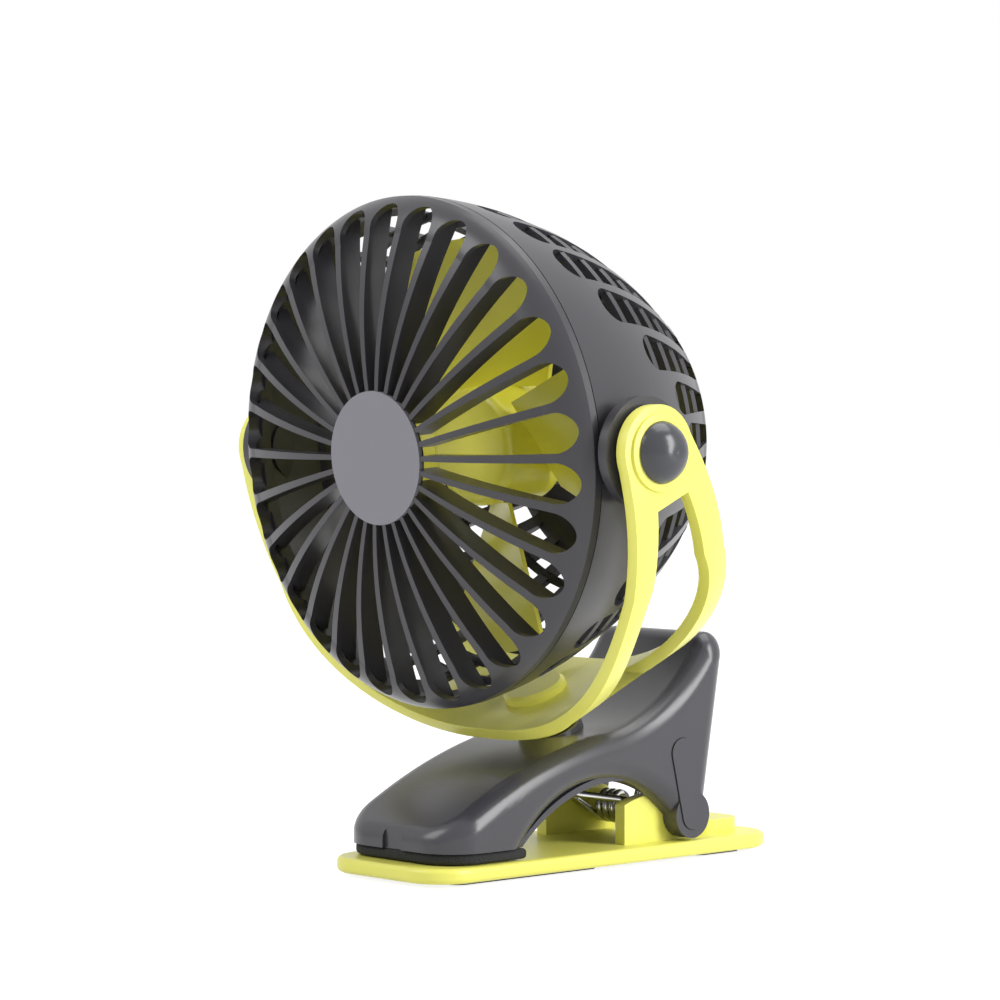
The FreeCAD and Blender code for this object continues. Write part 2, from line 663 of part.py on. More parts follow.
def torsion_spring():
    """Double torsion spring: a bar across the ears, two coils on the pin, two tails."""
    wire = D.spring_wire_radius.value
    mean = D.spring_coil_radius.value
    outer = D.ear_inner.value - D.motion_gap.value - wire
    bar_y, bar_z = D.spring_bar_y.value, D.spring_bar_z.value
    turns = D.spring_turns.value
    steps = math.ceil(turns * 4)
    pitch = 2 * wire + D.spring_coil_gap.value
    pin = Vector(0, D.pin_y.value, D.pin_z.value)

    def coil_point(side, turn):
        """Point and direction on a coil, counted in turns inwards from the bar's arm."""
        angle = start_angle + 2 * math.pi * turn
        across = Vector(0, math.cos(angle), math.sin(angle)) * mean
        along = Vector(0, -math.sin(angle), math.cos(angle)) * (2 * math.pi * mean)
        step = Vector(-side * pitch, 0, 0)
        x = Vector(side * (outer - pitch * turn), 0, 0)
        return pin + across + x, (along + step).normalize()

    reach = Vector(0, bar_y - pin.y, bar_z - pin.z)
    # the arm from the bar touches the coil where the radius is square to it
    lean = math.atan2(reach.z, reach.y)
    start_angle = lean + math.acos(mean / reach.Length)
    bend = D.spring_bend.value

    def half(side):
        """Edges from the middle of the bar to one free tail."""
        first = coil_point(side, 0)[0]
        corner = Vector(first.x, bar_y, bar_z)
        arm = (first - corner).normalize()
        inner = corner - Vector(side * bend, 0, 0)
        leave = corner + arm * bend
        middle_bar = Vector(0, bar_y, bar_z)
        edges = [Part.LineSegment(middle_bar, inner).toShape()]
        edges.append(arc_edge(inner, Vector(side, 0, 0), leave))
        edges.append(Part.LineSegment(leave, first).toShape())
        points = [coil_point(side, turns * step / steps) for step in range(steps + 1)]
        points[0] = (first, arm)
        for (a, a_way), (b, b_way) in zip(points, points[1:]):
            edges.extend(biarc(a, a_way, b, b_way))
        last, way = points[-1]
        edges.append(Part.LineSegment(last, last + way * D.spring_tail.value).toShape())
        return edges

    solids = [swept_wire(half(side), wire) for side in (-1, 1)]
    item = keep(doc.addObject("Part::Feature", "torsion_spring"), "torsion_spring")
    item.Shape = solids[0].fuse(solids[1]).removeSplitter()
    gap = min(
        coil_point(1, turn)[0].distanceToPoint(coil_point(1, turn + 1)[0])
        for turn in range(math.floor(turns))) - 2 * wire
    print(f"torsion_spring: least gap between turns {gap:.2f} mm")


def arc_edge(start, way, end):
    """Arc that leaves start along way and reaches end."""
    chord = end - start
    side = way - chord * (way.dot(chord) / chord.dot(chord))
    angle = way.getAngle(chord)
    middle = start + chord * 0.5 + side.normalize() * (chord.Length / 2 * math.tan(angle / 2))
    return Part.Arc(start, middle, end).toShape()


def biarc(a, a_way, b, b_way):
    """Two arcs that join two points with given directions smoothly."""
    chord = b - a
    both = a_way + b_way
    bend = 1 - a_way.dot(b_way)
    along = chord.dot(both)
    reach = (-along + math.sqrt(along * along + 2 * bend * chord.dot(chord))) / (2 * bend)
    joint = (a + a_way * reach + b - b_way * reach) * 0.5
    back = arc_edge(b, b_way * -1, joint)
    middle = back.valueAt((back.FirstParameter + back.LastParameter) / 2)
    return [arc_edge(a, a_way, joint), Part.Arc(joint, middle, b).toShape()]


def swept_wire(edges, radius):
    """Solid round wire along a smooth path."""
    path = Part.Wire(edges)
    start = edges[0].valueAt(edges[0].FirstParameter)
    way = edges[0].tangentAt(edges[0].FirstParameter)
    ring = Part.Wire(Part.makeCircle(radius, start, way))
    return path.makePipeShell([ring], True, False)


def jaw_lower_cover():
    """Lower cover of the jaw, following the nose floor and the arch."""
    body = new_body("jaw_lower_cover")
    wide = (D.jaw_half_width - D.jaw_wall - D.cover_fit) * 2
    side = outline(new_sketch(body, "YZ_Plane", "Side"), cover_side(D.cover_fit))
    pad(body, "Cover", side, wide, SideType="Symmetric")
    place(body)


def nose_pad():
    """Foam grip pad under the nose."""
    body = new_body("nose_pad")
    half = D.jaw_half_width - D.pad_inset
    front = -D.nose_front + D.pad_inset
    corner = D.nose_corner
    cut = corner * (1 - math.sqrt(0.5))
    plan = [
        (-half + corner, front, -half + cut, front + cut), (half - corner, front),
        (half, front + corner, half - cut, front + cut),
        (half, -D.arch_front), (-half, -D.arch_front), (-half, front + corner),
    ]
    pad(body, "Foam", outline(new_sketch(body, "XY_Plane", "Plan"), plan), D.pad_thickness)
    place(body, z=JAW_UNDER - D.pad_thickness)


def side_covers():
    """Obround covers that hide the ends of the hinge pin."""
    thick = D.side_cover_depth + D.side_cover_proud
    outer = D.jaw_half_width - D.side_cover_depth
    for name, start in (("left", -outer - thick), ("right", outer)):
        body = new_body(f"side_cover_{name}")
        plan = side_cover_plan(D.side_cover_radius - D.side_cover_fit)
        face = outline(new_sketch(body, "YZ_Plane", "Plan", start), plan)
        pad(body, "Cover", face, thick)
        place(body)


def battery_cell():
    """Flat lithium cell lying along the slope inside the nose."""
    item = keep(doc.addObject("Part::Box", "battery_cell"), "battery_cell")
    bind(item, "Length", D.cell_width)
    bind(item, "Width", D.cell_length)
    bind(item, "Height", D.cell_thickness)
    half_long, half_thick = D.cell_length / 2, D.cell_thickness / 2
    place(item, D.cell_y - half_long * cosine(D.cell_slope) + half_thick * sine(D.cell_slope),
          D.cell_z - half_long * sine(D.cell_slope) - half_thick * cosine(D.cell_slope),
          D.cell_slope, -D.cell_width / 2)


def pivot_knobs():
    """Domed caps whose stub shafts carry the head in the yoke's eyes."""
    outer = D.arm_inner + D.yoke_thickness + D.eye_ring_height + D.knob_gap
    seat = D.pivot_boss_reach - D.knob_seat_depth
    dome = [
        (seat, 0), (outer + D.knob_height, 0),
        (outer, D.knob_radius, outer + D.knob_height * 0.72, D.knob_radius * 0.68),
        (outer, D.pivot_pin_radius), (seat, D.pivot_pin_radius),
    ]
    face = D.arm_inner - D.washer_gap
    inner = D.pivot_pin_radius + D.running_fit
    ring = [
        (face - D.washer_thickness, inner), (face, inner), (face, D.washer_radius),
        (face - D.washer_thickness, D.washer_radius),
    ]
    for name, turn in (("left", ("Z", 180.0)), ("right", None)):
        turned_piece(f"pivot_knob_{name}", dome, in_head, "X_Axis", turn=turn)
        turned_piece(f"friction_washer_{name}", ring, in_head, "X_Axis", turn=turn)


def yoke():
    """U-shaped bracket with two-legged arms, moulded in one piece."""
    body = new_body("yoke")
    outer = D.arm_inner + D.yoke_thickness
    top = D.eye_radius
    under = -D.floor_drop
    floor = under + D.yoke_thickness
    bend_out = D.yoke_corner + D.yoke_thickness
    reach = 1 - math.sqrt(0.5)
    strap = [
        (-outer, top), (-outer, under + bend_out),
        (-outer + bend_out, under, -outer + bend_out * reach, under + bend_out * reach),
        (outer - bend_out, under),
        (outer, under + bend_out, outer - bend_out * reach, under + bend_out * reach),
        (outer, top), (D.arm_inner, top), (D.arm_inner, floor + D.yoke_corner),
        (D.arm_inner - D.yoke_corner, floor, D.arm_inner - D.yoke_corner * reach,
         floor + D.yoke_corner * reach),
        (-D.arm_inner + D.yoke_corner, floor),
        (-D.arm_inner, floor + D.yoke_corner, -D.arm_inner + D.yoke_corner * reach,
         floor + D.yoke_corner * reach),
        (-D.arm_inner, top),
    ]
    wide = D.leg_belly_spread * 2 + D.eye_radius
    pad(body, "Strap", outline(new_sketch(body, "XZ_Plane", "UShape"), strap), wide,
        SideType="Symmetric")
    for sign, name in ((-1, "Front"), (1, "Rear")):
        far = wide * sign
        lowest = under * 1.1
        trim = [
            (far, top * 2), (far, lowest), (D.rail_spread * sign, lowest),
            (D.leg_knee_spread * sign, -D.leg_knee, D.leg_belly_spread * sign, -D.leg_belly),
            (D.eye_radius * sign, 0), (D.eye_radius * sign, top * 2),
        ]
        cut = outline(new_sketch(body, "YZ_Plane", f"{name}Edge"), trim)
        pocket(body, f"{name}Trim", cut, SideType="Symmetric")
    crest = [
        (-D.eye_radius, 0), (-D.eye_radius, top * 2), (D.eye_radius, top * 2),
        (D.eye_radius, 0), (-D.eye_radius, 0, 0, D.eye_radius),
    ]
    cut = outline(new_sketch(body, "YZ_Plane", "Crest"), crest[1:])
    pocket(body, "CrestTrim", cut, SideType="Symmetric")
    knee = D.leg_knee_spread - D.leg_width
    belly = D.leg_belly_spread - D.leg_width
    rail = D.rail_spread - D.leg_width
    window = [
        (-D.window_half_top, -D.window_top), (-knee, -D.leg_knee),
        (-rail, -D.window_floor, -belly, -D.leg_belly), (rail, -D.window_floor),
        (knee, -D.leg_knee, belly, -D.leg_belly), (D.window_half_top, -D.window_top),
    ]
    pocket(body, "ArmWindows", outline(new_sketch(body, "YZ_Plane", "Window"), window),
           SideType="Symmetric")
    for name, offset, reverse in (("Left", -outer, True), ("Right", outer, False)):
        ring = circle(new_sketch(body, "YZ_Plane", f"Eye{name}", offset), 0, 0,
                      D.eye_ring_radius)
        pad(body, f"Eye{name}Ring", ring, D.eye_ring_height, Reversed=reverse)
    eye = circle(new_sketch(body, "YZ_Plane", "EyeHole"), 0, 0,
                 D.pivot_pin_radius + D.running_fit)
    pocket(body, "EyeBore", eye, SideType="Symmetric")
    flat = circle(new_sketch(body, "XY_Plane", "CapSeat", floor), 0, 0,
                  D.swivel_disc_radius + D.running_fit)
    pocket(body, "CapRecess", flat, D.swivel_disc_height, Reversed=True)
    boss = circle(new_sketch(body, "XY_Plane", "Boss", under), 0, 0, D.boss_radius)
    pad(body, "SwivelBoss", boss, D.boss_height, Reversed=True)
    bore = circle(new_sketch(body, "XY_Plane", "Bore", -D.floor_drop / 2), 0, 0,
                  D.swivel_pin_radius + D.running_fit)
    pocket(body, "SwivelBore", bore)
    in_yoke(body)


def swivel_parts():
    """Pin that holds the yoke down on the jaw, and the round cap over it."""
    floor = -D.floor_drop + D.yoke_thickness
    head = floor + D.motion_gap
    low = -D.floor_drop - D.boss_height - D.motion_gap - D.pedestal_depth
    pin = [
        (0, low), (D.swivel_pin_radius, low), (D.swivel_pin_radius, head),
        (D.swivel_head_radius, head), (D.swivel_head_radius, head + D.swivel_head_height),
        (0, head + D.swivel_head_height),
    ]
    turned_piece("swivel_pin", pin, in_yoke, "Z_Axis", "XZ_Plane")
    gap = D.motion_gap
    roof = head + D.swivel_head_height + gap
    cap = [
        (0, roof), (D.swivel_head_radius + gap, roof), (D.swivel_head_radius + gap, floor),
        (D.swivel_disc_radius, floor), (D.swivel_disc_radius, roof),
        (D.swivel_disc_radius - 1, roof + 1), (0, roof + 1),
    ]
    turned_piece("swivel_cap", cap, in_yoke, "Z_Axis", "XZ_Plane")


def front_grille():
    """Domed front guard: deep thin ribs fanned round a hub, with round-ended slots."""
    body = new_body("front_grille")
    wall = D.shell_wall
    side = D.seam_radius
    dome = [
        (0, -D.grille_front), (D.grille_disc_radius, -D.grille_front),
        (D.shoulder_radius, -D.shoulder_front, D.grille_mid_radius, -D.grille_mid_front),
        (side, -D.shoulder_side_front, D.shoulder_mid_radius, -D.shoulder_mid_front),
        (side, -GRILLE_BACK), (side - wall - D.spigot_ease, -GRILLE_BACK),
        (side - wall - D.spigot_ease, -GRILLE_BACK + D.spigot_depth),
        (side - wall * 1.6, -GRILLE_BACK + D.spigot_depth),
        (side - wall * 1.6, -D.shoulder_side_front),
        (D.shoulder_radius - wall / 4, -D.shoulder_front + wall,
         D.shoulder_mid_radius - wall * 0.9, -D.shoulder_mid_front + wall * 0.8),
        (D.grille_disc_radius, -D.grille_front + wall, D.grille_mid_radius,
         -D.grille_mid_front + wall),
        (0, -D.grille_front + wall),
    ]
    revolve(body, "Dome", outline(new_sketch(body, "XY_Plane", "Section"), dome))
    half_pitch = 180.0 / D.rib_count
    half_rib = D.rib_tip_width / 2
    rim = D.grille_disc_radius - D.disc_overhang
    inner = rim * tangent(half_pitch) - D.rib_root_width / 2
    # the round end touches the outer wall's side of the slot and both straight flanks
    reach = sine(half_pitch)
    tip = (D.slot_tip * reach - half_rib) / (1 + reach)
    centre = D.slot_tip - tip
    flank_x, flank_y = tip * cosine(half_pitch), centre - tip * reach
    slot = [
        (inner, rim), (flank_x, flank_y), (-flank_x, flank_y, 0, D.slot_tip), (-inner, rim),
    ]
    face = outline(new_sketch(body, "XZ_Plane", "Slot", D.slot_floor), slot)
    cut = pocket(body, "FirstSlot", face, D.grille_front, Reversed=True)
    repeat(body, "Slots", cut, D.rib_count)
    deep = D.rib_depth
    blade = [
        (D.grille_disc_radius - 2, -D.grille_front + wall / 2),
        (D.shoulder_radius, -D.shoulder_front + wall / 2, D.grille_mid_radius,
         -D.grille_mid_front + wall / 2),
        (side - wall * 1.3, -D.shoulder_side_front),
        (side - wall * 1.3, -D.shoulder_side_front + deep / 3),
        (D.shoulder_radius, -D.shoulder_front + deep),
        (D.grille_disc_radius - 2, -D.grille_front + deep, D.grille_mid_radius,
         -D.grille_mid_front + deep),
    ]
    rib = pad(body, "FirstRib",
              outline(new_sketch(body, "XY_Plane", "Rib"), blade),
              D.rib_web, SideType="Symmetric")
    repeat(body, "Ribs", rib, D.rib_count)
    seat = circle(new_sketch(body, "XZ_Plane", "DiscSeat", D.grille_front - D.disc_seat),
                  0, 0, D.grille_disc_radius)
    pocket(body, "DiscRecess", seat, D.grille_front, Reversed=True)
    in_head(body)


def grille_centre_disc():
    """Plain round badge plate set into the grille's hub."""
    body = new_body("grille_centre_disc")
    start = D.grille_front - D.disc_seat
    face = circle(new_sketch(body, "XZ_Plane", "Plan", start), 0, 0,
                  D.grille_disc_radius - D.running_fit)
    pad(body, "Disc", face, D.disc_plate)
    in_head(body)


def rear_radius(depth):
    """Outer radius of the rear housing at a depth behind the pivot, on the parabola
    through the seam, the middle and the rear end of its side."""
    places = ((-D.seam_offset, D.seam_radius), (D.rear_mid_depth, D.rear_mid_radius),
              (D.rear_end_depth, D.rear_end_radius))
    total = size(0.0)
    for place_depth, radius in places:
        share = radius
        for other, _ in places:
            if other is not place_depth:
                share = share * (depth - other) / (place_depth - other)
        total = total + share
    return total


def rear_housing():
    """Rear guard: a domed band, then windows between ribs, tied by inner hoops."""
    body = new_body("rear_housing")
    wall = D.shell_wall
    bend_radius = (D.cap_radius + D.rear_end_radius) / 2
    bend_depth = (D.head_depth + D.rear_end_depth) / 2
    shell = [
        (0, D.head_depth), (0, D.head_depth - wall), (D.cap_radius - wall, D.head_depth - wall),
        (D.rear_end_radius - wall, D.rear_end_depth - wall / 2, bend_radius - wall / 2,
         bend_depth),
        (D.seam_radius - wall, -D.seam_offset, D.rear_mid_radius - wall, D.rear_mid_depth),
        (D.seam_radius, -D.seam_offset),
        (D.rear_end_radius, D.rear_end_depth, D.rear_mid_radius, D.rear_mid_depth),
        (D.cap_radius, D.head_depth, bend_radius + wall / 2, bend_depth + wall / 2),
    ]
    revolve(body, "Shell", outline(new_sketch(body, "XY_Plane", "Section"), shell))
    pitch = 360.0 / D.window_count
    half_rib = D.window_rib / 2
    slim = D.window_tail * tangent(pitch / 2) - half_rib
    foot = D.rear_end_depth + D.window_overrun
    for index in range(round(D.window_count.value / 2)):
        angle = pitch * (index + 0.5)
        square = sine(angle) * sine(angle)
        start = D.window_front + D.window_sweep * square * square * square
        wide = rear_radius(start) * tangent(pitch / 2) - half_rib
        plan = [
            (slim, foot), (wide, start + wide), (-wide, start + wide, 0, start),
            (-slim, foot),
        ]
        face = outline(new_sketch(body, "XY_Plane", f"Window{index}", turn=("Y", angle)), plan)
        pocket(body, f"WindowPair{index}", face, SideType="Symmetric")
    for index in range(round(D.hoop_count.value)):
        depth = D.hoop_start + D.hoop_step * index
        radius = rear_radius(depth + D.hoop_width) - D.hoop_sink
        inner = radius - D.hoop_height
        hoop = [
            (radius, depth), (radius, depth + D.hoop_width), (inner, depth + D.hoop_width),
            (inner, depth),
        ]
        revolve(body, f"Hoop{index}",
                outline(new_sketch(body, "XY_Plane", f"HoopSection{index}"), hoop))
    cup = [
        (D.motor_radius + D.running_fit, D.head_depth - wall / 2),
        (D.motor_radius + D.running_fit + D.motor_cup_wall, D.head_depth - wall / 2),
        (D.motor_radius + D.running_fit + D.motor_cup_wall,
         D.head_depth - wall - D.motor_cup_depth),
        (D.motor_radius + D.running_fit, D.head_depth - wall - D.motor_cup_depth),
    ]
    revolve(body, "MotorCup", outline(new_sketch(body, "XY_Plane", "CupSection"), cup))
    for sign, name in ((-1, "Left"), (1, "Right")):
        face = D.pivot_boss_reach * sign
        inward = sign > 0
        for label, radius, depth in (("Stem", D.pivot_stem_radius, D.pivot_stem_depth),
                                     ("Flange", D.pivot_boss_radius, D.pivot_flange)):
            ring = circle(new_sketch(body, "YZ_Plane", f"{label}{name}", face), 0, 0, radius)
            pad(body, f"Pivot{label}{name}", ring, depth, Reversed=inward)
        hole = circle(new_sketch(body, "YZ_Plane", f"Hole{name}", face), 0, 0,
                      D.pivot_pin_radius)
        pocket(body, f"PivotHole{name}", hole, D.knob_seat_depth, Reversed=not inward)
    in_head(body)


def motor():
    """Small can motor: drawn can, end cap and two sleeve bearings."""
    back = D.head_depth - D.shell_wall
    cap_face = back - D.end_cap_thickness
    bore = D.shaft_radius + D.running_fit
    can = [
        (D.bush_radius, D.motor_front), (D.motor_radius, D.motor_front),
        (D.motor_radius, cap_face), (D.motor_radius - 1, cap_face),
        (D.motor_radius - 1, D.motor_front + 1), (D.bush_radius, D.motor_front + 1),
    ]
    turned_piece("motor_can", can, in_head)
    cap = [(D.bush_radius, cap_face), (D.motor_radius, cap_face), (D.motor_radius, back),
           (0, back), (0, back - 0.8), (D.bush_radius, back - 0.8)]
    turned_piece("motor_end_cap", cap, in_head)
    for name, start in (("front", D.motor_front), ("rear", cap_face - 1.8)):
        ring = [(bore, start), (D.bush_radius, start), (D.bush_radius, start + D.bush_length),
                (bore, start + D.bush_length)]
        turned_piece(f"bearing_{name}", ring, in_head)
    magnet_outer = D.motor_radius - 1
    magnet = [(magnet_outer - 2.6, D.motor_front + 5), (magnet_outer, D.motor_front + 5),
              (magnet_outer, cap_face - 4), (magnet_outer - 2.6, cap_face - 4)]
    turned_piece("motor_magnet", magnet, in_head)
    tip = D.hub_front + D.hub_wall
    shaft = [(0, tip), (D.shaft_radius, tip), (D.shaft_radius, cap_face + 0.5),
             (0, cap_face + 0.5)]
    turned_piece("motor_shaft", shaft, in_head)
    core_radius = magnet_outer - 2.6 - D.motion_gap
    core = [(D.shaft_radius, D.motor_front + 6), (core_radius, D.motor_front + 6),
            (core_radius, cap_face - 5), (D.shaft_radius, cap_face - 5)]
    turned_piece("motor_rotor", core, in_head)


def impeller():
    """Four broad blades round a cup-shaped hub."""
    body = new_body("impeller")
    wall = D.hub_wall
    hub = [
        (0, D.hub_front), (D.hub_radius - 3, D.hub_front),
        (D.hub_radius, D.hub_front + 3, D.hub_radius - 0.9, D.hub_front + 0.9),
        (D.hub_radius, D.hub_back), (D.hub_radius - wall, D.hub_back),
        (D.hub_radius - wall, D.hub_front + wall), (D.hub_boss_radius, D.hub_front + wall),
        (D.hub_boss_radius, D.motor_front - 2), (D.shaft_radius, D.motor_front - 2),
        (D.shaft_radius, D.hub_front + wall), (0, D.hub_front + wall),
    ]
    revolve(body, "Hub", outline(new_sketch(body, "XY_Plane", "Section"), hub))
    mid = D.blade_mid_depth
    root_face = blade_section(body, "Root", D.hub_radius - wall / 2, D.root_half_chord,
                              D.root_half_depth, mid + 5)
    tip_face = blade_section(body, "Tip", D.blade_tip, D.tip_half_chord, D.tip_half_depth, mid)
    loft = feature(body, "AdditiveLoft", "FirstBlade", root_face, Sections=[tip_face], Ruled=True)
    repeat(body, "Blades", loft, D.blade_count)
    trim = [
        (D.blade_tip, -D.head_depth), (D.blade_tip * 2, -D.head_depth),
        (D.blade_tip * 2, D.head_depth), (D.blade_tip, D.head_depth),
    ]
    revolve(body, "RoundTips", outline(new_sketch(body, "XY_Plane", "Trim"), trim),
            kind="Groove")
    in_head(body)


def blade_section(body, name, radius, half_chord, half_depth, mid):
    """Slanting thin section of a blade on a plane at a distance from the axis."""
    thick = D.blade_thickness
    corners = [
        (mid - half_depth, half_chord), (mid - half_depth + thick, half_chord),
        (mid + half_depth + thick, -half_chord), (mid + half_depth, -half_chord),
    ]
    return outline(new_sketch(body, "YZ_Plane", name, radius), corners)


def check_and_export():
    """Recompute, stop on anything failed or empty, and write one file per piece."""
    doc.recompute()
    for item in doc.Objects:
        if {"Invalid", "Error"} & set(item.State):
            raise RuntimeError(f"{item.Name} ({item.Label}) did not compute: {item.State}")
    os.makedirs("parts", exist_ok=True)
    for item in pieces:
        shape = item.Shape
        if shape.isNull() or not shape.isValid() or not shape.Solids:
            raise RuntimeError(f"{item.Label} has no valid solid")
        print(f"{item.Label}: {len(shape.Solids)} solid(s), {shape.Volume:.1f} mm3")
        shape.exportStep(f"parts/{item.Label}.step")


base_plate()
rubber_feet()
hinge_pin()
jaw_upper_shell()
jaw_lower_cover()
nose_pad()
side_covers()
battery_cell()
tail_electrics()
torsion_spring()
yoke()
swivel_parts()
front_grille()
grille_centre_disc()
rear_housing()
pivot_knobs()
motor()
impeller()
check_and_export()
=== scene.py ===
import math
import bpy
import bmesh
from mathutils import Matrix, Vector


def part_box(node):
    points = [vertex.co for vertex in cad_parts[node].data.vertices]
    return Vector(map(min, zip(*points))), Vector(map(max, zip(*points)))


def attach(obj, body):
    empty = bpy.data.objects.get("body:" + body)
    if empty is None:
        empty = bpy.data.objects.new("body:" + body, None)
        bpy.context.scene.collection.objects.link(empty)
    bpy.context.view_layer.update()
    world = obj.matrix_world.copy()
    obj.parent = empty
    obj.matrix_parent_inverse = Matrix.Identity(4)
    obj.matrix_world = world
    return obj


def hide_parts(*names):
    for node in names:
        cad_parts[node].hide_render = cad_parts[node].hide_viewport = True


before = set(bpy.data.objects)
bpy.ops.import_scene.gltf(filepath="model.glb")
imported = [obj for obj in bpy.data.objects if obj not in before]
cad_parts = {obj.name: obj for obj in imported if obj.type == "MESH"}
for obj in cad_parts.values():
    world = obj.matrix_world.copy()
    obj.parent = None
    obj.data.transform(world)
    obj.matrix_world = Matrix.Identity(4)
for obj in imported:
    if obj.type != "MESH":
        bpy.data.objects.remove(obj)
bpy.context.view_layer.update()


# Camera
# The photograph looks at the fan's front from its left hand side, almost level, with a
# long lens. The sight line is set by the head's tilt axis, which shows at PIVOT_PIXEL.
PIVOT = Vector((0.0, -0.036, 0.124))
PIVOT_PIXEL = (454.6, 449.0)
FRAME_PIXELS = 1000.0
LENS_PIXELS = 3600.0
VIEW_AZIMUTH = math.radians(47.3)
VIEW_ELEVATION = math.radians(1.7)
VIEW_DISTANCE = 1.049
SENSOR_MM = 36.0
FAR_CLIP = 20.0

camera_data = bpy.data.cameras.new("camera")
camera_data.sensor_width = SENSOR_MM
camera_data.lens = SENSOR_MM * LENS_PIXELS / FRAME_PIXELS
camera_data.clip_end = FAR_CLIP
camera = bpy.data.objects.new("camera", camera_data)
bpy.context.scene.collection.objects.link(camera)
back = Vector((math.sin(VIEW_AZIMUTH) * math.cos(VIEW_ELEVATION),
               -math.cos(VIEW_AZIMUTH) * math.cos(VIEW_ELEVATION),
               math.sin(VIEW_ELEVATION)))
camera.rotation_euler = back.to_track_quat("Z", "Y").to_euler()
bpy.context.view_layer.update()
turn = camera.matrix_world.to_3x3()
off_right = (PIVOT_PIXEL[0] - FRAME_PIXELS / 2) * VIEW_DISTANCE / LENS_PIXELS
off_down = (PIVOT_PIXEL[1] - FRAME_PIXELS / 2) * VIEW_DISTANCE / LENS_PIXELS
camera.location = (PIVOT + back * VIEW_DISTANCE
                   - turn @ Vector((off_right, -off_down, 0.0)))
bpy.context.scene.camera = camera
bpy.context.scene.view_settings.view_transform = "Standard"


# Floor and light
# A white paper sweep in a small product studio, with three large soft boxes: one high on
# the camera's left, one low on its right and one overhead. The sweep and the backdrop show
# as white, and the sweep keeps a faint shadow under the fan.
SWEEP_SIZE = 6.0
SWEEP_DROP = 0.0002
SWEEP_TONE = 0.8
SHADOW_TONE = 0.42
SHADOW_FLOOR = 0.86
SKY_STRENGTH = 0.42
LAMP_TARGET = Vector((0, 0, 0.1))
WHITE = (1.0, 1.0, 1.0, 1.0)


def linear(code):
    """Linear colour of an sRGB hex code."""
    parts = [int(code[i:i + 2], 16) / 255 for i in (1, 3, 5)]
    return tuple(c / 12.92 if c <= 0.04045 else ((c + 0.055) / 1.055) ** 2.4
                 for c in parts) + (1.0,)


def node(tree, kind, links=(), **settings):
    """Add a shader node. Settings name its attributes or input sockets; links are
    (socket, source node, source socket)."""
    made = tree.nodes.new(kind)
    for key, value in settings.items():
        if hasattr(made, key):
            setattr(made, key, value)
        else:
            made.inputs[key.replace("_", " ")].default_value = value
    for socket, source, out in links:
        tree.links.new(source.outputs[out], made.inputs[socket])
    return made


def direct_view(tree):
    """One where a surface is seen straight, in a mirror or through glass, else zero."""
    path = node(tree, "ShaderNodeLightPath")
    mirror = node(tree, "ShaderNodeMath", operation="MAXIMUM",
                  links=[(0, path, "Is Camera Ray"), (1, path, "Is Glossy Ray")])
    return node(tree, "ShaderNodeMath", operation="MAXIMUM",
                links=[(0, mirror, 0), (1, path, "Is Transmission Ray")])


floor_mesh = bpy.data.meshes.new("floor")
sweep = bmesh.new()
bmesh.ops.create_grid(sweep, x_segments=1, y_segments=1, size=SWEEP_SIZE)
sweep.to_mesh(floor_mesh)
sweep.free()
floor = bpy.data.objects.new("floor", floor_mesh)
bpy.context.scene.collection.objects.link(floor)
floor.location.z = -SWEEP_DROP
paper = bpy.data.materials.new("white_paper_sweep")
paper.use_nodes = True
tree = paper.node_tree
tree.nodes.clear()
seen = direct_view(tree)
matt = node(tree, "ShaderNodeBsdfDiffuse", Color=(SWEEP_TONE,) * 3 + (1.0,))
faint = node(tree, "ShaderNodeBsdfDiffuse", Color=(SHADOW_TONE,) * 3 + (1.0,))
white = node(tree, "ShaderNodeEmission", Color=WHITE, Strength=SHADOW_FLOOR)
glow = node(tree, "ShaderNodeAddShader", links=[(0, faint, 0), (1, white, 0)])
choice = node(tree, "ShaderNodeMixShader", links=[(0, seen, 0), (1, matt, 0), (2, glow, 0)])
node(tree, "ShaderNodeOutputMaterial", links=[("Surface", choice, 0)])
floor_mesh.materials.append(paper)

world = bpy.data.worlds.new("studio")
bpy.context.scene.world = world
world.use_nodes = True
tree = world.node_tree
tree.nodes.clear()
sky = node(tree, "ShaderNodeBackground", Color=WHITE, Strength=SKY_STRENGTH)
backdrop = node(tree, "ShaderNodeBackground", Color=WHITE, Strength=1.0)
choice = node(tree, "ShaderNodeMixShader", links=[(0, direct_view(tree), 0), (1, sky, 0),
                                                  (2, backdrop, 0)])
node(tree, "ShaderNodeOutputWorld", links=[("Surface", choice, 0)])


def soft_box(name, azimuth, elevation, distance, width, height, power):
    """Area lamp aimed at the fan's middle from a direction given in degrees."""
    data = bpy.data.lights.new(name, "AREA")
    data.shape = "RECTANGLE"
    data.size, data.size_y, data.energy = width, height, power
    lamp = bpy.data.objects.new(name, data)
    bpy.context.scene.collection.objects.link(lamp)
    a, e = math.radians(azimuth), math.radians(elevation)
    way = Vector((math.sin(a) * math.cos(e), -math.cos(a) * math.cos(e), math.sin(e)))
    lamp.location = LAMP_TARGET + way * distance
    lamp.rotation_euler = way.to_track_quat("Z", "Y").to_euler()


soft_box("key_box", -25, 38, 1.4, 0.8, 0.8, 8.0)
soft_box("side_box", 112, 22, 1.2, 0.4, 1.0, 13.0)
soft_box("top_box", 170, 75, 1.4, 1.0, 1.0, 9.0)


# Clamp foot
# Long round-cornered plate with the pivot ears and a raised finger rest, injection
# moulded in lime yellow ABS with a fine satin texture, standing on two black rubber pads.
PLASTIC_IOR = 1.5
FLOW_MARKS_PER_METRE = 45.0
GRAIN_DEPTH = 0.0002
MOTTLING = 0.03


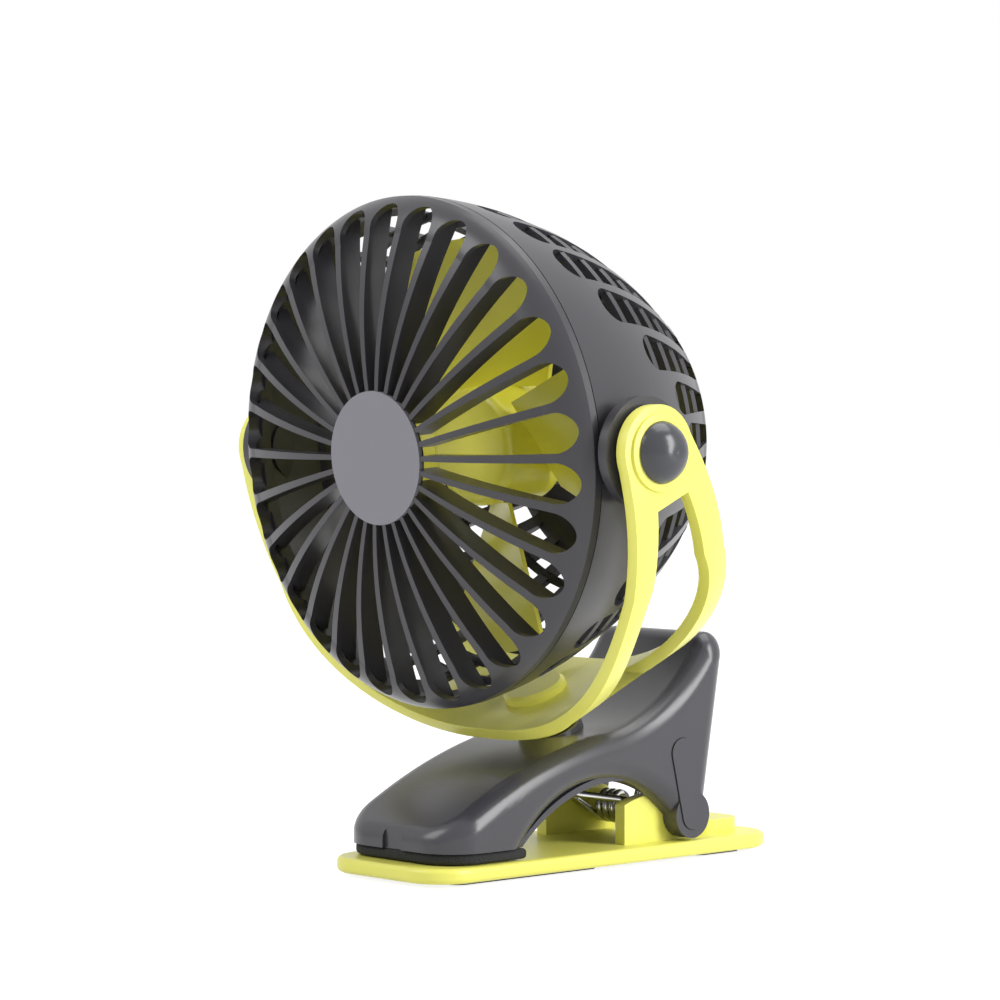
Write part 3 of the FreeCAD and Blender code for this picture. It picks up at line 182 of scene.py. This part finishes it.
def moulded(name, colour, roughness, grain_mm=0.35, grain=0.05):
    """Moulded plastic: a nearly even colour with faint flow marks and a fine mould grain
    that gives its highlights a soft edge."""
    material = bpy.data.materials.new(name)
    material.use_nodes = True
    tree = material.node_tree
    tree.nodes.clear()
    place = node(tree, "ShaderNodeTexCoord")
    flow = node(tree, "ShaderNodeTexNoise", links=[("Vector", place, "Object")],
                Scale=FLOW_MARKS_PER_METRE, Detail=3.0, Roughness=0.5)
    base = linear(colour)
    dim = tuple(c * (1 - MOTTLING) for c in base[:3]) + (1.0,)
    shade = node(tree, "ShaderNodeMix", data_type="RGBA",
                 links=[("Factor", flow, "Fac")])
    shade.inputs["A"].default_value = dim
    shade.inputs["B"].default_value = base
    fine = node(tree, "ShaderNodeTexNoise", links=[("Vector", place, "Object")],
                Scale=1000.0 / grain_mm, Detail=2.0, Roughness=0.6)
    rough = node(tree, "ShaderNodeMapRange", links=[("Value", flow, "Fac")])
    rough.inputs["To Min"].default_value = roughness * 0.9
    rough.inputs["To Max"].default_value = roughness * 1.12
    bump = node(tree, "ShaderNodeBump", links=[("Height", fine, "Fac")], Strength=grain,
                Distance=GRAIN_DEPTH)
    shader = node(tree, "ShaderNodeBsdfPrincipled", IOR=PLASTIC_IOR,
                  links=[("Base Color", shade, "Result"), ("Roughness", rough, "Result"),
                         ("Normal", bump, "Normal")])
    node(tree, "ShaderNodeOutputMaterial", links=[("Surface", shader, 0)])
    return material


def dress(material, *names):
    """Give CAD nodes a material."""
    for name in names:
        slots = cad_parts[name].data.materials
        slots.clear()
        slots.append(material)


# lime yellow ABS from a lightly textured mould: bright, with a soft satin sheen
yellow_abs = moulded("lime_yellow_abs", "#efec6e", 0.34)
dress(yellow_abs, "base_plate")
# black rubber with a dull, slightly rough skin
foot_rubber = moulded("black_foot_rubber", "#1d1d1d", 0.75, grain_mm=0.6, grain=0.3)
dress(foot_rubber, "rubber_foot_front", "rubber_foot_rear")


# Pivot pin and spring
# Plated steel pin pressed into the ears, and a double torsion spring of bright hard
# drawn wire wound on it.
def metal(name, colour, roughness, streak_mm=0.4):
    """Metal with fine drawn streaks that vary its roughness."""
    material = bpy.data.materials.new(name)
    material.use_nodes = True
    tree = material.node_tree
    tree.nodes.clear()
    place = node(tree, "ShaderNodeTexCoord")
    streak = node(tree, "ShaderNodeTexNoise", links=[("Vector", place, "Object")],
                  Scale=1000.0 / streak_mm, Detail=2.0)
    rough = node(tree, "ShaderNodeMapRange", links=[("Value", streak, "Fac")])
    rough.inputs["To Min"].default_value = roughness * 0.8
    rough.inputs["To Max"].default_value = roughness * 1.25
    shader = node(tree, "ShaderNodeBsdfPrincipled", links=[("Roughness", rough, "Result")],
                  Base_Color=linear(colour), Metallic=1.0)
    node(tree, "ShaderNodeOutputMaterial", links=[("Surface", shader, 0)])
    return material


# zinc plated steel: pale grey and softly bright
plated_steel = metal("plated_steel", "#c9c9cc", 0.25)
# bright drawn spring wire: nearly a mirror along its length
spring_wire = metal("bright_spring_wire", "#dcdde0", 0.14)
dress(plated_steel, "hinge_pin", "swivel_pin", "usb_socket", "motor_shaft")
dress(spring_wire, "torsion_spring")


# Jaw
# Shoe-shaped upper shell and its lower cover, moulded in dark grey ABS with a semi-gloss
# skin, with the obround pin covers snapped into both cheeks.
# dark grey ABS from a polished mould: semi-gloss, with clear highlights on its rims
grey_abs = moulded("dark_grey_gloss_abs", "#403f45", 0.24, grain_mm=0.5, grain=0.03)
dress(grey_abs, "jaw_upper_shell", "jaw_lower_cover", "side_cover_left", "side_cover_right")


# Foam pad
# Strip of black closed-cell foam, die cut to the round toe and stuck under the nose. The
# cutting die leaves its edge rolled, and cut cells show as fine pits all over.
TOE_RADIUS = 0.0120
PAD_ROLL = 0.0011
PIT_DEPTH = 0.0003
DUST_PATCHES_PER_METRE = 120.0
DUST_SHADE = 0.6
LEVEL_EDGE = 1e-6


def cell_foam(name, colour, cell_mm):
    """Closed-cell foam: matt black, with round pits drawn a little larger than life."""
    material = bpy.data.materials.new(name)
    material.use_nodes = True
    tree = material.node_tree
    tree.nodes.clear()
    place = node(tree, "ShaderNodeTexCoord")
    cells = node(tree, "ShaderNodeTexVoronoi", links=[("Vector", place, "Object")],
                 Scale=1000.0 / cell_mm)
    dust = node(tree, "ShaderNodeTexNoise", links=[("Vector", place, "Object")],
                Scale=DUST_PATCHES_PER_METRE, Detail=4.0)
    tone = node(tree, "ShaderNodeMix", data_type="RGBA", links=[("Factor", dust, "Fac")])
    tone.inputs["A"].default_value = tuple(c * DUST_SHADE for c in linear(colour)[:3]) + (1.0,)
    tone.inputs["B"].default_value = linear(colour)
    pits = node(tree, "ShaderNodeBump", links=[("Height", cells, "Distance")], Strength=0.8,
                Distance=PIT_DEPTH)
    shader = node(tree, "ShaderNodeBsdfPrincipled", Roughness=0.92, IOR=1.45,
                  links=[("Base Color", tone, "Result"), ("Normal", pits, "Normal")])
    node(tree, "ShaderNodeOutputMaterial", links=[("Surface", shader, 0)])
    return material


low, high = (Vector(corner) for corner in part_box("nose_pad"))
strip = bmesh.new()
bmesh.ops.create_cube(strip, size=1.0)
bmesh.ops.scale(strip, verts=strip.verts, vec=high - low)
middle = (low + high) / 2
bmesh.ops.translate(strip, verts=strip.verts, vec=middle)
toe = [e for e in strip.edges
       if all(v.co.y < middle.y for v in e.verts)
       and abs(e.verts[0].co.z - e.verts[1].co.z) > LEVEL_EDGE]
bmesh.ops.bevel(strip, geom=toe, offset=TOE_RADIUS, affect="EDGES", segments=12, profile=0.5,
                material=-1)
rim = [e for e in strip.edges if abs(e.verts[0].co.z - e.verts[1].co.z) < LEVEL_EDGE]
bmesh.ops.bevel(strip, geom=rim, offset=PAD_ROLL, affect="EDGES", segments=4, profile=0.5,
                material=-1)
for face in strip.faces:
    face.smooth = True
pad_mesh = bpy.data.meshes.new("foam_pad")
strip.to_mesh(pad_mesh)
strip.free()
foam_pad = bpy.data.objects.new("foam_pad", pad_mesh)
bpy.context.scene.collection.objects.link(foam_pad)
pad_mesh.materials.append(cell_foam("black_closed_cell_foam", "#2e2f30", cell_mm=0.6))
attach(foam_pad, "jaw")
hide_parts("nose_pad")


# Inside the jaw
# Flat lithium cell in foil, fibreglass circuit board, switch, button and light pipe.
# laminated foil pouch: blue grey and softly shiny
cell_foil = moulded("cell_foil_wrap", "#8c99a6", 0.35)
dress(cell_foil, "battery_cell")
# solder mask: thin even green lacquer
board_mask = moulded("green_solder_mask", "#1d5a35", 0.4)
dress(board_mask, "circuit_board")
# black ABS from a satin mould
black_abs = moulded("black_satin_abs", "#1f1f21", 0.4)
dress(black_abs, "tact_switch", "speed_button", "motor_end_cap", "friction_washer_left",
      "friction_washer_right")
# polycarbonate light pipe with the lamp off: pale and glossy
clear_pc = moulded("clear_light_pipe", "#e6edf2", 0.12)
dress(clear_pc, "indicator_lens")


# Yoke
# U-shaped bracket and the cap over its swivel pin, moulded in the same lime yellow ABS. The
# bracket's edges are rounded by nearly a millimetre, which shows as a line along each leg.
YOKE_EDGE = 0.0008
SHARP_ANGLE = math.radians(35)
FLAT_ANGLE = math.radians(0.5)
SAME_POINT = 1e-6

bracket = bmesh.new()
bracket.from_mesh(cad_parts["yoke"].data)
bmesh.ops.remove_doubles(bracket, verts=bracket.verts, dist=SAME_POINT)
bmesh.ops.dissolve_limit(bracket, angle_limit=FLAT_ANGLE, verts=bracket.verts,
                         edges=bracket.edges)
sharp = [e for e in bracket.edges
         if len(e.link_faces) == 2 and e.calc_face_angle(0.0) > SHARP_ANGLE]
bmesh.ops.bevel(bracket, geom=sharp, offset=YOKE_EDGE, affect="EDGES", segments=3,
                profile=0.5, material=-1, clamp_overlap=True)
for face in bracket.faces:
    face.smooth = True
bracket_mesh = bpy.data.meshes.new("yoke_bracket")
bracket.to_mesh(bracket_mesh)
bracket.free()
yoke_bracket = bpy.data.objects.new("yoke_bracket", bracket_mesh)
bpy.context.scene.collection.objects.link(yoke_bracket)
bracket_mesh.materials.append(yellow_abs)
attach(yoke_bracket, "yoke")
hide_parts("yoke")
dress(yellow_abs, "swivel_cap")


# Head shells
# Front grille and rear housing in dark grey ABS, joined at the seam, with a paler satin
# disc pressed into the hub and a domed knob over each pivot.
# head shells: a mould finish between satin and gloss, a little duller than the jaw
head_abs = moulded("head_grey_abs", "#37363b", 0.30, grain_mm=0.5, grain=0.03)
dress(head_abs, "front_grille", "rear_housing")
# centre disc: fine spark-eroded satin, which spreads its highlight over the whole face
badge = moulded("satin_badge_disc", "#807f86", 0.5, grain_mm=0.4, grain=0.12)
dress(badge, "grille_centre_disc")
# knobs: polished mould, with one small bright highlight on the dome
knob_abs = moulded("knob_grey_abs", "#3e3f44", 0.22)
dress(knob_abs, "pivot_knob_left", "pivot_knob_right")


# Motor
# Drawn steel can, sintered bronze bearings, ferrite magnet and laminated rotor.
# drawn steel: grey, with faint draw marks
can_steel = metal("drawn_can_steel", "#8f8f92", 0.35)
dress(can_steel, "motor_can", "motor_rotor")
# oil-filled sintered bronze: brown and matt
bronze = metal("sintered_bronze", "#a87c4a", 0.45)
dress(bronze, "bearing_front", "bearing_rear")
# pressed ferrite: black and dull, like fired clay
ferrite = moulded("black_ferrite", "#2a2a2c", 0.6)
dress(ferrite, "motor_magnet")


# Impeller
# Four broad blades and a cup hub moulded in translucent yellow ABS.
GLOW_SHARE = 0.35
GLOW_DEPTHS = (0.004, 0.004, 0.001)

# thin lemon plastic that light enters by a few millimetres, so its shaded side stays warm
blade_plastic = moulded("translucent_yellow_abs", "#f0ea4e", 0.26)
shader = next(n for n in blade_plastic.node_tree.nodes if n.type == "BSDF_PRINCIPLED")
shader.inputs["Subsurface Weight"].default_value = GLOW_SHARE
shader.inputs["Subsurface Radius"].default_value = GLOW_DEPTHS
dress(blade_plastic, "impeller")
